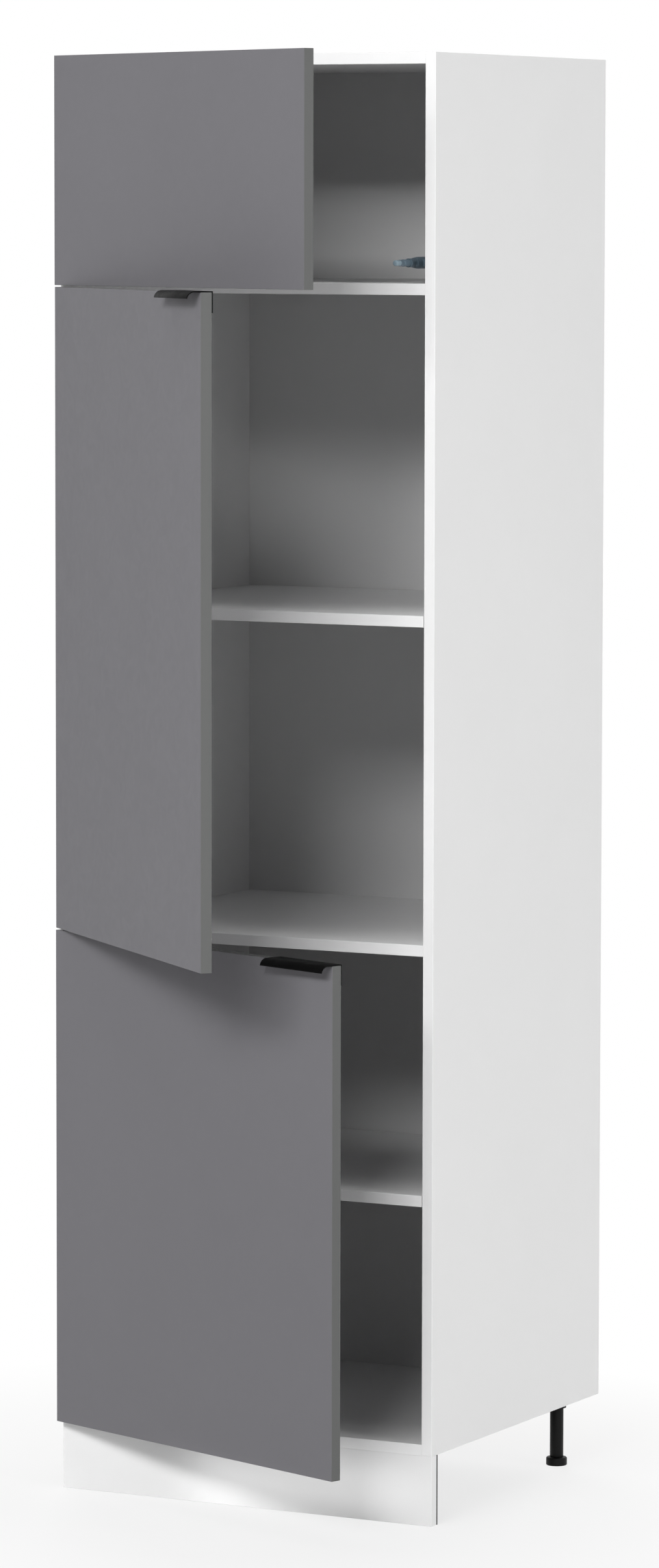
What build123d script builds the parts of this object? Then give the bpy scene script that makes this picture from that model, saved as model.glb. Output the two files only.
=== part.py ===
from build123d import *
from dataclasses import dataclass
from math import cos, radians, sin
import os

# Tall kitchen cabinet with three doors hinged on the left.
# Millimetres, +Z up. The front faces -Y and the floor is Z = 0.
# The origin is the middle of the plinth board's underside.

# Overall sizes
cabinet_width = 600.0
cabinet_height = 2070.0
carcass_depth = 551.0
plinth_height = 100.0
board = 16.0

# Clear heights of the bays, from the bottom. The top bay takes what is left.
lower_bay = 693.0
middle_bay = 909.0

# Back panel
back_thickness = 3.0
back_inset = 10.0
groove_depth = 5.0
groove_clearance = 0.1

# Shelves
shelf_side_clearance = 1.0
shelf_rear_clearance = 1.0

# Cam fittings and dowels that hold the fixed boards between the sides
cam_radius = 7.4
cam_depth = 12.5
cam_from_end = 24.0
cam_clearance = 0.1
bolt_radius = 3.0
bolt_clearance = 0.3
bolt_thread_radius = 2.5
bolt_in_side = 11.0
fitting_inset = 60.0
dowel_radius = 3.9
dowel_clearance = 0.1
dowel_offset = 32.0
dowel_in_board = 19.0
dowel_in_side = 11.0
blind_end_clearance = 0.5

# Shelf pins
pin_radius = 2.5
pin_hole_clearance = 0.05
pin_in_side = 8.0
pin_below_shelf = 3.0
shelf_lug_radius = 4.5
shelf_lug_length = 8.0
pin_inset = 37.0

# Plinth
plinth_thickness = 16.0
plinth_backing_thickness = 3.0
clip_plate_thickness = 2.0
clip_plate_height = 34.0
clip_plate_width = 30.0
clip_ring_wall = 2.5
clip_height = 16.0
clip_gap_deg = 100.0

# Legs
leg_inset_side = 40.0
leg_inset_front = 60.0
leg_inset_rear = 60.0
leg_tube_radius = 10.0
leg_bore_radius = 4.6
leg_flange_size = 56.0
leg_flange_thickness = 4.0
leg_collar_radius = 14.0
leg_collar_height = 10.0
leg_fit_clearance = 0.1
leg_screw_spacing = 40.0
leg_screw_radius = 1.8
leg_screw_head_radius = 3.6
leg_screw_head_height = 1.8
leg_screw_length = 12.0
foot_radius = 15.5
foot_height = 12.0
foot_edge_radius = 2.0
foot_stem_radius = 4.5
foot_stem_length = 34.0
foot_running_gap = 0.4

# Doors
door_thickness = 16.0
door_side_reveal = 1.5
door_gap = 2.5
door_meeting_offset = 0.5
door_standoff = 3.0
upper_door_open = 25.4
middle_door_open = 40.7
lower_door_open = 20.4

# Concealed hinges
cup_radius = 17.4
cup_hole_clearance = 0.1
cup_depth = 11.5
cup_wall = 0.7
cup_floor = 0.8
cup_edge_distance = 3.1
cup_flange_thickness = 1.0
cup_flange_radius = 18.2
cup_eye_radius = 6.0
cup_screw_spacing = 45.0
cup_screw_offset = 9.5
cup_screw_radius = 1.9
cup_screw_head_radius = 3.6
cup_screw_head_height = 1.0
cup_screw_length = 10.0
pivot_from_door_edge = 6.5
pivot_in_door = 6.8
hinge_pin_radius = 1.0
hinge_pin_length = 13.5
hinge_pin_clearance = 0.08
knuckle_radius = 1.8
knuckle_height = 9.0
pin_lug_gap = 0.3
pin_lug_width = 4.0
pin_lug_depth = 4.4
arm_thickness = 2.0
neck_drop = 1.4
neck_reach = 12.5
arm_height = 15.0
arm_start = 14.0
arm_end = 62.0
arm_flange = 1.7
arm_flange_depth = 1.1
spine_height = 11.0
spine_start = 16.0
spine_end = 60.0
wing_span = 46.0
wing_width = 14.0
wing_thickness = 1.2
system_line = 37.0
system_pitch = 32.0
plate_screw_radius = 2.4
plate_screw_head_radius = 3.6
plate_screw_head_height = 1.8
plate_screw_in_side = 11.0
arm_screw_radius = 2.2
arm_screw_head_radius = 3.7
arm_screw_head_height = 1.5
arm_screw_positions = (24.0, 54.0)
screw_clearance = 0.1
upper_hinge_inset = 75.0
tall_hinge_inset = 100.0
hinge_above_shelf = 60.0

# Handles: a bent strip on the door's top edge, flush with the free edge
handle_length = 128.0
handle_thickness = 1.5
handle_flat = 25.0
handle_bend_radius = 12.0
handle_bend_deg = 80.0
handle_flange_height = 28.0
handle_screw_spacing = 96.0
handle_screw_drop = 16.0
handle_screw_radius = 1.8
handle_screw_head_radius = 3.4
handle_screw_length = 12.0

# Door bumpers
bumper_radius = 4.0
bumper_thickness = 2.4
bumper_from_end = 45.0

# Push latch of the upper door
latch_from_side = 27.0
latch_above_shelf = 28.6
latch_reach = 38.0
latch_tip_radius = 4.15
latch_tip_length = 12.3
latch_tip_edge_radius = 1.5
latch_spigot_radius = 2.6
latch_spigot_length = 8.0
latch_plunger_radius = 5.0
latch_plunger_length = 56.0
latch_bore_clearance = 0.3
latch_body_radius = 6.25
latch_body_setback = 1.5
latch_body_end = 84.0
latch_end_wall = 3.0
latch_spring_radius = 3.6
latch_spring_wire = 0.45
latch_spring_pitch = 1.5
latch_spring_turns = 8
adapter_start = 19.0
adapter_cone_end = 30.0
adapter_end = 80.0
adapter_nose_radius = 7.0
adapter_radius = 8.25
adapter_web = 10.0
adapter_plate_thickness = 3.0
adapter_plate_start = 34.0
adapter_plate_height = 40.0
adapter_screw_spacing = 26.0
adapter_screw_radius = 2.0
adapter_screw_head_radius = 3.8
adapter_screw_length = 14.0
strike_radius = 8.0
strike_thickness = 1.0

# Places worked out from the sizes above
half_width = cabinet_width / 2
side_inner = half_width - board
front = -plinth_thickness / 2
back = front + carcass_depth
back_panel_rear = back - back_inset
back_panel_front = back_panel_rear - back_thickness
bottom_z = plinth_height
top_z = cabinet_height - board
lower_fixed_z = bottom_z + board + lower_bay
upper_fixed_z = lower_fixed_z + board + middle_bay
lower_loose_z = (bottom_z + board + lower_fixed_z - board) / 2
upper_loose_z = (lower_fixed_z + board + upper_fixed_z - board) / 2

pivot_x = -half_width + door_side_reveal + pivot_from_door_edge
pivot_y = front - door_standoff - pivot_in_door
door_width = cabinet_width - 2 * door_side_reveal
door_edge = -pivot_from_door_edge
door_free_edge = door_edge + door_width
door_back = pivot_in_door
door_front = pivot_in_door - door_thickness
carcass_front = front - pivot_y
side_face = -side_inner - pivot_x


def box(x_range, y_range, z_range, mode=Mode.ADD):
    """Add or cut a block that fills the three ranges."""
    sizes = [high - low for low, high in (x_range, y_range, z_range)]
    middle = [(low + high) / 2 for low, high in (x_range, y_range, z_range)]
    with Locations(tuple(middle)):
        Box(*sizes, mode=mode)


def rod(axis, point, span, radius, mode=Mode.ADD):
    """Add or cut a cylinder along X, Y or Z through point, over span on that axis."""
    low, high = span
    centre = list(point)
    centre["XYZ".index(axis)] = (low + high) / 2
    turn = {"X": (0, 90, 0), "Y": (90, 0, 0), "Z": (0, 0, 0)}[axis]
    with Locations(Location(tuple(centre), turn)):
        Cylinder(radius, high - low, mode=mode)


def cone(axis, point, span, radii, mode=Mode.ADD):
    """Add or cut a cone along +Y or +X, from radii[0] at the low end to radii[1]."""
    low, high = span
    centre = list(point)
    centre["XYZ".index(axis)] = (low + high) / 2
    turn = {"X": (0, 90, 0), "Y": (-90, 0, 0)}[axis]
    with Locations(Location(tuple(centre), turn)):
        Cone(radii[0], radii[1], high - low, mode=mode)


def save(builder, name):
    """Label a finished piece and write its STEP file."""
    builder.part.label = name
    export_step(builder.part, f"parts/{name}.step")


@dataclass
class FixedBoard:
    """A board held between the sides by cams, bolts and dowels."""

    name: str
    z: float
    rear: float
    cams_below: bool = True
    grooved: bool = False


@dataclass
class LooseShelf:
    """A shelf that lies on four pins."""

    name: str
    z: float


@dataclass
class Door:
    """A door, in the plane of its hinge axis: x' runs to the free edge, y' to the back."""

    name: str
    low: float
    high: float
    opened: float
    hinges: tuple
    handled: bool

    @property
    def plane(self):
        turn = radians(self.opened)
        return Plane(
            origin=(pivot_x, pivot_y, 0),
            x_dir=(cos(turn), -sin(turn), 0),
            z_dir=(0, 0, 1),
        )


def hinge_heights(low, high, inset, *between):
    """Give a hinge at each inset and any others between them."""
    return (low + inset, *between, high - inset)


fixed_boards = (
    FixedBoard("bottom_panel", bottom_z, back, grooved=True),
    FixedBoard("lower_fixed_shelf", lower_fixed_z, back_panel_front),
    FixedBoard("upper_fixed_shelf", upper_fixed_z, back_panel_front),
    FixedBoard("top_panel", top_z, back, cams_below=False, grooved=True),
)
loose_shelves = (
    LooseShelf("lower_loose_shelf", lower_loose_z),
    LooseShelf("upper_loose_shelf", upper_loose_z),
)

# Each gap between two doors lies just off the middle of a fixed shelf's edge.
lower_door_top = lower_fixed_z + board / 2 + door_meeting_offset
upper_door_low = upper_fixed_z + board / 2 + door_gap - door_meeting_offset
middle_door_low = lower_door_top + door_gap
middle_door_top = upper_door_low - door_gap
upper_door = Door(
    "upper",
    upper_door_low,
    cabinet_height,
    upper_door_open,
    hinge_heights(upper_door_low, cabinet_height, upper_hinge_inset),
    False,
)
middle_door = Door(
    "middle",
    middle_door_low,
    middle_door_top,
    middle_door_open,
    hinge_heights(middle_door_low, middle_door_top, tall_hinge_inset,
                  upper_loose_z + board + hinge_above_shelf),
    True,
)
lower_door = Door(
    "lower",
    bottom_z,
    lower_door_top,
    lower_door_open,
    hinge_heights(bottom_z, lower_door_top, tall_hinge_inset),
    True,
)
doors = (upper_door, middle_door, lower_door)
carcass_hinge_plane = Plane(origin=(pivot_x, pivot_y, 0))

fitting_y = (front + fitting_inset, back_panel_front - fitting_inset)
dowel_y = (fitting_y[0] + dowel_offset, fitting_y[1] - dowel_offset)
pin_y = (front + pin_inset, back_panel_front - pin_inset)
ends = (-1, 1)

os.makedirs("parts", exist_ok=True)


# Side panels
groove_y = (back_panel_front - groove_clearance, back_panel_rear + groove_clearance)
latch_x = side_inner - latch_from_side
latch_z = upper_fixed_z + board + latch_above_shelf
adapter_screw_y = front + (adapter_plate_start + adapter_end) / 2
adapter_screw_z = (latch_z - adapter_screw_spacing / 2, latch_z + adapter_screw_spacing / 2)


def from_end(end, start, stop):
    """Give the X range between two distances inward from a side's inner face."""
    return tuple(sorted((end * (side_inner - start), end * (side_inner - stop))))


def into_side(end, depth):
    """Give the X range from a side's inner face into the panel by depth."""
    return from_end(end, -depth, 0)


for end, name in zip(ends, ("left_side_panel", "right_side_panel")):
    with BuildPart() as side:
        box(into_side(end, board), (front, back), (bottom_z, cabinet_height))
        box(into_side(end, groove_depth), groove_y,
            (bottom_z + board - groove_depth, top_z + groove_depth), mode=Mode.SUBTRACT)
        for fixed in fixed_boards:
            axis_z = fixed.z + board / 2
            for y in fitting_y:
                rod("X", (0, y, axis_z), into_side(end, bolt_in_side + blind_end_clearance),
                    bolt_thread_radius + dowel_clearance, mode=Mode.SUBTRACT)
            for y in dowel_y:
                rod("X", (0, y, axis_z), into_side(end, dowel_in_side + blind_end_clearance),
                    dowel_radius + dowel_clearance, mode=Mode.SUBTRACT)
        for shelf in loose_shelves:
            for y in pin_y:
                rod("X", (0, y, shelf.z - pin_below_shelf),
                    into_side(end, pin_in_side + blind_end_clearance),
                    pin_radius + pin_hole_clearance, mode=Mode.SUBTRACT)
        if end < 0:
            for door in doors:
                for z in door.hinges:
                    for screw_z in (z - system_pitch / 2, z + system_pitch / 2):
                        rod("X", (0, front + system_line, screw_z),
                            into_side(end, plate_screw_in_side + blind_end_clearance),
                            plate_screw_radius + screw_clearance, mode=Mode.SUBTRACT)
        else:
            for screw_z in adapter_screw_z:
                rod("X", (0, adapter_screw_y, screw_z),
                    into_side(end, adapter_screw_length - adapter_plate_thickness
                              + blind_end_clearance),
                    adapter_screw_radius + screw_clearance, mode=Mode.SUBTRACT)
    save(side, name)


# Top, bottom and fixed shelves
def cam_span(fixed):
    """Give the Z range of a cam let into the lower or the upper face."""
    if fixed.cams_below:
        return fixed.z, fixed.z + cam_depth
    return fixed.z + board - cam_depth, fixed.z + board


leg_x = (-half_width + leg_inset_side, half_width - leg_inset_side)
leg_y = (front + leg_inset_front, back - leg_inset_rear)
leg_places = [(x, y) for y in leg_y for x in leg_x]
leg_screw_offsets = (-leg_screw_spacing / 2, leg_screw_spacing / 2)

for fixed in fixed_boards:
    with BuildPart() as shelf_board:
        box((-side_inner, side_inner), (front, fixed.rear), (fixed.z, fixed.z + board))
        for end in ends:
            for y in fitting_y:
                rod("Z", (end * (side_inner - cam_from_end), y, 0), cam_span(fixed),
                    cam_radius + cam_clearance, mode=Mode.SUBTRACT)
                rod("X", (0, y, fixed.z + board / 2), from_end(end, 0, cam_from_end),
                    bolt_radius + bolt_clearance, mode=Mode.SUBTRACT)
            for y in dowel_y:
                rod("X", (0, y, fixed.z + board / 2),
                    from_end(end, 0, dowel_in_board + blind_end_clearance),
                    dowel_radius + dowel_clearance, mode=Mode.SUBTRACT)
        if fixed.grooved and fixed.cams_below:
            box((-side_inner, side_inner), groove_y,
                (fixed.z + board - groove_depth, fixed.z + board), mode=Mode.SUBTRACT)
            for x, y in leg_places:
                for dx in leg_screw_offsets:
                    for dy in leg_screw_offsets:
                        rod("Z", (x + dx, y + dy, 0),
                            (fixed.z, fixed.z + leg_screw_length - leg_flange_thickness
                             + blind_end_clearance),
                            leg_screw_radius + screw_clearance, mode=Mode.SUBTRACT)
        elif fixed.grooved:
            box((-side_inner, side_inner), groove_y, (fixed.z, fixed.z + groove_depth),
                mode=Mode.SUBTRACT)
    save(shelf_board, fixed.name)

for shelf in loose_shelves:
    half_shelf = side_inner - shelf_side_clearance
    with BuildPart() as shelf_board:
        box((-half_shelf, half_shelf), (front, back_panel_front - shelf_rear_clearance),
            (shelf.z, shelf.z + board))
    save(shelf_board, shelf.name)

groove_reach = groove_depth - groove_clearance
with BuildPart() as back_panel:
    box((-side_inner - groove_reach, side_inner + groove_reach),
        (back_panel_front, back_panel_rear),
        (bottom_z + board - groove_reach, top_z + groove_reach))
save(back_panel, "back_panel")

# Fittings inside the boards
with BuildPart() as cam_discs:
    for fixed in fixed_boards:
        for end in ends:
            for y in fitting_y:
                rod("Z", (end * (side_inner - cam_from_end), y, 0), cam_span(fixed), cam_radius)
                rod("X", (0, y, fixed.z + board / 2), from_end(end, 0, cam_from_end + bolt_radius),
                    bolt_radius + bolt_clearance, mode=Mode.SUBTRACT)
save(cam_discs, "cam_discs")

with BuildPart() as cam_bolts:
    for fixed in fixed_boards:
        for end in ends:
            for y in fitting_y:
                point = (0, y, fixed.z + board / 2)
                rod("X", point, from_end(end, -bolt_in_side, 0), bolt_thread_radius)
                rod("X", point, from_end(end, 0, cam_from_end), bolt_radius)
save(cam_bolts, "cam_bolts")

with BuildPart() as dowels:
    for fixed in fixed_boards:
        for end in ends:
            for y in dowel_y:
                rod("X", (0, y, fixed.z + board / 2),
                    from_end(end, -dowel_in_side, dowel_in_board), dowel_radius)
save(dowels, "dowels")

with BuildPart() as shelf_pins:
    for shelf in loose_shelves:
        for end in ends:
            for y in pin_y:
                point = (0, y, shelf.z - pin_below_shelf)
                rod("X", point, from_end(end, -pin_in_side, 0), pin_radius)
                rod("X", point, from_end(end, 0, shelf_lug_length), shelf_lug_radius)
    for shelf in loose_shelves:
        box((-side_inner, side_inner), (front, back), (shelf.z, shelf.z + shelf_lug_radius),
            mode=Mode.SUBTRACT)
save(shelf_pins, "shelf_pins")

# Plinth
plinth_rear = front + plinth_thickness
with BuildPart() as plinth_board:
    box((-half_width, half_width), (front, plinth_rear), (0, plinth_height))
save(plinth_board, "plinth_board")

backing_rear = plinth_rear + plinth_backing_thickness
with BuildPart() as plinth_backing:
    box((-half_width, half_width), (plinth_rear, backing_rear), (0, plinth_height))
save(plinth_backing, "plinth_backing")

clip_inner = leg_tube_radius + leg_fit_clearance
clip_z = (plinth_height / 2 - clip_height / 2, plinth_height / 2 + clip_height / 2)
with BuildPart() as plinth_clips:
    for x in leg_x:
        rod("Z", (x, leg_y[0], 0), clip_z, clip_inner + clip_ring_wall)
        box((x - clip_ring_wall, x + clip_ring_wall), (backing_rear, leg_y[0]), clip_z)
        box((x - clip_plate_width / 2, x + clip_plate_width / 2),
            (backing_rear, backing_rear + clip_plate_thickness),
            (plinth_height / 2 - clip_plate_height / 2, plinth_height / 2 + clip_plate_height / 2))
        rod("Z", (x, leg_y[0], 0), clip_z, clip_inner, mode=Mode.SUBTRACT)
        mouth = clip_inner * sin(radians(clip_gap_deg / 2))
        box((x - mouth, x + mouth),
            (leg_y[0] + clip_inner * cos(radians(clip_gap_deg / 2)),
             leg_y[0] + clip_inner + 2 * clip_ring_wall),
            clip_z, mode=Mode.SUBTRACT)
save(plinth_clips, "plinth_clips")

# Legs
flange_low = bottom_z - leg_flange_thickness
tube_low = foot_height + foot_running_gap
half_flange = leg_flange_size / 2
with BuildPart() as leg_mounts:
    for x, y in leg_places:
        box((x - half_flange, x + half_flange), (y - half_flange, y + half_flange),
            (flange_low, bottom_z))
        rod("Z", (x, y, 0), (flange_low - leg_collar_height, flange_low), leg_collar_radius)
        rod("Z", (x, y, 0), (flange_low - leg_collar_height, flange_low),
            leg_tube_radius + leg_fit_clearance, mode=Mode.SUBTRACT)
        for dx in leg_screw_offsets:
            for dy in leg_screw_offsets:
                rod("Z", (x + dx, y + dy, 0), (flange_low, bottom_z),
                    leg_screw_radius + screw_clearance, mode=Mode.SUBTRACT)
save(leg_mounts, "leg_mounts")

with BuildPart() as leg_mount_screws:
    for x, y in leg_places:
        for dx in leg_screw_offsets:
            for dy in leg_screw_offsets:
                rod("Z", (x + dx, y + dy, 0), (flange_low, flange_low + leg_screw_length),
                    leg_screw_radius)
                rod("Z", (x + dx, y + dy, 0), (flange_low - leg_screw_head_height, flange_low),
                    leg_screw_head_radius)
save(leg_mount_screws, "leg_mount_screws")

with BuildPart() as leg_tubes:
    for x, y in leg_places:
        rod("Z", (x, y, 0), (tube_low, flange_low), leg_tube_radius)
        rod("Z", (x, y, 0), (tube_low, flange_low), leg_bore_radius, mode=Mode.SUBTRACT)
save(leg_tubes, "leg_tubes")

foot_names = ("front_left_foot", "front_right_foot", "rear_left_foot", "rear_right_foot")
for (x, y), name in zip(leg_places, foot_names):
    with BuildPart() as foot:
        rod("Z", (x, y, 0), (0, foot_height), foot_radius)
        fillet(foot.faces().sort_by(Axis.Z)[-1].edges(), foot_edge_radius)
        rod("Z", (x, y, 0), (foot_height, foot_height + foot_stem_length), foot_stem_radius)
    save(foot, name)


# Hinges: the plates, arms and screws that stay on the left side
# All of these are placed from the hinge axis, on the unturned hinge plane.
web_out = neck_reach
web_in = neck_reach - arm_thickness
spine_out = web_in - screw_clearance
wing_out = side_face + wing_thickness


def along(distance):
    """Turn a distance behind the carcass front into y'."""
    return carcass_front + distance


def around(z, height):
    """Give the Z range of a piece of this height centred on z."""
    return z - height / 2, z + height / 2


for door in doors:
    with BuildPart(carcass_hinge_plane) as plates:
        for z in door.hinges:
            box((side_face, spine_out), (along(spine_start), along(spine_end)),
                around(z, spine_height))
            box((side_face, wing_out),
                (along(system_line - wing_width / 2), along(system_line + wing_width / 2)),
                around(z, wing_span))
            for screw_z in around(z, system_pitch):
                rod("X", (0, along(system_line), screw_z), (side_face, wing_out),
                    plate_screw_radius + screw_clearance, mode=Mode.SUBTRACT)
            for place in arm_screw_positions:
                rod("X", (0, along(place), z), (side_face, spine_out),
                    arm_screw_radius + screw_clearance, mode=Mode.SUBTRACT)
    save(plates, f"{door.name}_hinge_plates")

    with BuildPart(carcass_hinge_plane) as arms:
        for z in door.hinges:
            rod("Z", (0, 0, 0), around(z, knuckle_height), knuckle_radius)
            box((0, web_out), (-neck_drop - arm_thickness, -neck_drop),
                around(z, knuckle_height))
            box((web_in, web_out), (-neck_drop - arm_thickness, along(arm_start)),
                around(z, knuckle_height))
            box((web_in - arm_flange_depth, web_out), (along(arm_start), along(arm_end)),
                around(z, arm_height))
            box((web_in - arm_flange_depth, web_in), (along(arm_start), along(arm_end)),
                around(z, arm_height - 2 * arm_flange), mode=Mode.SUBTRACT)
            rod("Z", (0, 0, 0), around(z, knuckle_height),
                hinge_pin_radius + hinge_pin_clearance, mode=Mode.SUBTRACT)
            for place in arm_screw_positions:
                rod("X", (0, along(place), z), (web_in, web_out),
                    arm_screw_radius + screw_clearance, mode=Mode.SUBTRACT)
    save(arms, f"{door.name}_hinge_arms")

    with BuildPart(carcass_hinge_plane) as plate_screws:
        for z in door.hinges:
            for screw_z in around(z, system_pitch):
                point = (0, along(system_line), screw_z)
                rod("X", point, (side_face - plate_screw_in_side, wing_out), plate_screw_radius)
                rod("X", point, (wing_out, wing_out + plate_screw_head_height),
                    plate_screw_head_radius)
            for place in arm_screw_positions:
                rod("X", (0, along(place), z), (side_face, web_out), arm_screw_radius)
                rod("X", (0, along(place), z), (web_out, web_out + arm_screw_head_height),
                    arm_screw_head_radius)
    save(plate_screws, f"{door.name}_plate_screws")


# Doors and what rides on them, on each door's own turned plane
cup_x = door_edge + cup_edge_distance + cup_radius
cup_low = door_back - cup_depth
cup_screw_x = cup_x + cup_screw_offset
flange_back = door_back + cup_flange_thickness
lug_x = (-pin_lug_width / 2, pin_lug_width / 2)
lug_y = (-pin_lug_depth / 2, pin_lug_depth / 2)
lug_inner = knuckle_height / 2 + pin_lug_gap
handle_start = door_free_edge - handle_length
handle_screw_x = (
    handle_start + (handle_length - handle_screw_spacing) / 2,
    handle_start + (handle_length + handle_screw_spacing) / 2,
)
handle_flange_back = door_back + handle_thickness
bumper_x = door_free_edge - board / 2
latch_from_pivot = latch_x - pivot_x

for door in doors:
    with BuildPart(door.plane) as panel:
        box((door_edge, door_free_edge), (door_front, door_back), (door.low, door.high))
        for z in door.hinges:
            rod("Y", (cup_x, 0, z), (cup_low - cup_hole_clearance, door_back),
                cup_radius + cup_hole_clearance, mode=Mode.SUBTRACT)
            for screw_z in around(z, cup_screw_spacing):
                rod("Y", (cup_screw_x, 0, screw_z),
                    (door_back - cup_screw_length - blind_end_clearance, door_back),
                    cup_screw_radius + screw_clearance, mode=Mode.SUBTRACT)
        if door.handled:
            for x in handle_screw_x:
                rod("Y", (x, 0, door.high - handle_screw_drop),
                    (door_back - handle_screw_length - blind_end_clearance, door_back),
                    handle_screw_radius + screw_clearance, mode=Mode.SUBTRACT)
    save(panel, f"{door.name}_door_panel")

    with BuildPart(door.plane) as cups:
        for z in door.hinges:
            rod("Y", (cup_x, 0, z), (door_back, flange_back), cup_flange_radius)
            for screw_z in around(z, cup_screw_spacing):
                rod("Y", (cup_screw_x, 0, screw_z), (door_back, flange_back), cup_eye_radius)
            box((cup_screw_x - cup_eye_radius, cup_screw_x + cup_eye_radius),
                (door_back, flange_back), around(z, cup_screw_spacing))
            rod("Y", (cup_x, 0, z), (cup_low, flange_back), cup_radius)
            rod("Y", (cup_x, 0, z), (cup_low + cup_floor, flange_back), cup_radius - cup_wall,
                mode=Mode.SUBTRACT)
            lug_low = z - hinge_pin_length / 2
            lug_high = z + hinge_pin_length / 2
            box(lug_x, lug_y, (lug_low, z - lug_inner))
            box(lug_x, lug_y, (z + lug_inner, lug_high))
            rod("Z", (0, 0, 0), (lug_low, lug_high), hinge_pin_radius, mode=Mode.SUBTRACT)
            for screw_z in around(z, cup_screw_spacing):
                rod("Y", (cup_screw_x, 0, screw_z), (door_back, flange_back),
                    cup_screw_radius + screw_clearance, mode=Mode.SUBTRACT)
    save(cups, f"{door.name}_hinge_cups")

    with BuildPart(door.plane) as hinge_pins:
        for z in door.hinges:
            rod("Z", (0, 0, 0), around(z, hinge_pin_length), hinge_pin_radius)
    save(hinge_pins, f"{door.name}_hinge_pins")

    with BuildPart(door.plane) as cup_screws:
        for z in door.hinges:
            for screw_z in around(z, cup_screw_spacing):
                point = (cup_screw_x, 0, screw_z)
                rod("Y", point, (door_back - cup_screw_length, flange_back), cup_screw_radius)
                rod("Y", point, (flange_back, flange_back + cup_screw_head_height),
                    cup_screw_head_radius)
    save(cup_screws, f"{door.name}_cup_screws")

    with BuildPart(door.plane) as bumpers:
        for z in (door.low + bumper_from_end, door.high - bumper_from_end):
            rod("Y", (bumper_x, 0, z), (door_back, door_back + bumper_thickness), bumper_radius)
    save(bumpers, f"{door.name}_door_bumpers")

    if not door.handled:
        continue

    profile_plane = Plane(
        origin=door.plane.from_local_coords((handle_start, door_back, door.high)),
        x_dir=-door.plane.y_dir,
        z_dir=-door.plane.x_dir,
    )
    strip_middle = handle_thickness / 2
    with BuildPart() as handle:
        with BuildSketch(profile_plane):
            with BuildLine():
                flat = Line((-handle_thickness, strip_middle), (handle_flat, strip_middle))
                JernArc(flat @ 1, flat % 1, handle_bend_radius - strip_middle, -handle_bend_deg)
            trace(line_width=handle_thickness)
        extrude(amount=-handle_length)
        with BuildSketch(profile_plane):
            with Locations((-strip_middle, (handle_thickness - handle_flange_height) / 2)):
                Rectangle(handle_thickness, handle_flange_height + handle_thickness)
        extrude(amount=-handle_length)
        with Locations(door.plane.location):
            for x in handle_screw_x:
                with Locations(Location((x, door_back + strip_middle,
                                         door.high - handle_screw_drop), (-90, 0, 0))):
                    Cone(handle_screw_radius + screw_clearance,
                         handle_screw_head_radius + screw_clearance,
                         handle_thickness, mode=Mode.SUBTRACT)
    save(handle, f"{door.name}_handle")

    with BuildPart(door.plane) as handle_screws:
        for x in handle_screw_x:
            point = (x, 0, door.high - handle_screw_drop)
            rod("Y", point, (door_back - handle_screw_length, door_back), handle_screw_radius)
            cone("Y", point, (door_back, handle_flange_back),
                 (handle_screw_radius, handle_screw_head_radius))
    save(handle_screws, f"{door.name}_handle_screws")


# Push latch of the upper door, along Y beside the right side panel
def latch_y(distance):
    """Turn a distance behind the carcass front into Y."""
    return front + distance


latch_axis = (latch_x, 0, latch_z)
tip_end = latch_y(-latch_reach + latch_tip_length)
bore_radius = latch_plunger_radius + latch_bore_clearance

with BuildPart() as latch_tip:
    rod("Y", latch_axis, (latch_y(-latch_reach), tip_end), latch_tip_radius)
    fillet(latch_tip.faces().sort_by(Axis.Y)[0].edges(), latch_tip_edge_radius)
    rod("Y", latch_axis, (tip_end - latch_spigot_length - blind_end_clearance, tip_end),
        latch_spigot_radius + screw_clearance, mode=Mode.SUBTRACT)
save(latch_tip, "latch_tip")

with BuildPart() as latch_plunger:
    rod("Y", latch_axis, (tip_end, tip_end + latch_plunger_length), latch_plunger_radius)
    rod("Y", latch_axis, (tip_end - latch_spigot_length, tip_end), latch_spigot_radius)
save(latch_plunger, "latch_plunger")

with BuildPart() as latch_housing:
    rod("Y", latch_axis, (latch_y(latch_body_setback), latch_y(latch_body_end)),
        latch_body_radius)
    rod("Y", latch_axis,
        (latch_y(latch_body_setback), latch_y(latch_body_end - latch_end_wall)),
        bore_radius, mode=Mode.SUBTRACT)
save(latch_housing, "latch_housing")

spring_length = latch_spring_pitch * latch_spring_turns
spring_start = latch_y(latch_body_end - latch_end_wall) - spring_length - latch_spring_wire
with BuildPart() as latch_spring:
    with BuildLine() as coil:
        Helix(latch_spring_pitch, spring_length, latch_spring_radius,
              center=(latch_x, spring_start, latch_z), direction=(0, 1, 0))
    with BuildSketch(Plane(origin=coil.line @ 0, z_dir=coil.line % 0)):
        Circle(latch_spring_wire)
    sweep(is_frenet=True)
save(latch_spring, "latch_spring")

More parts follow.
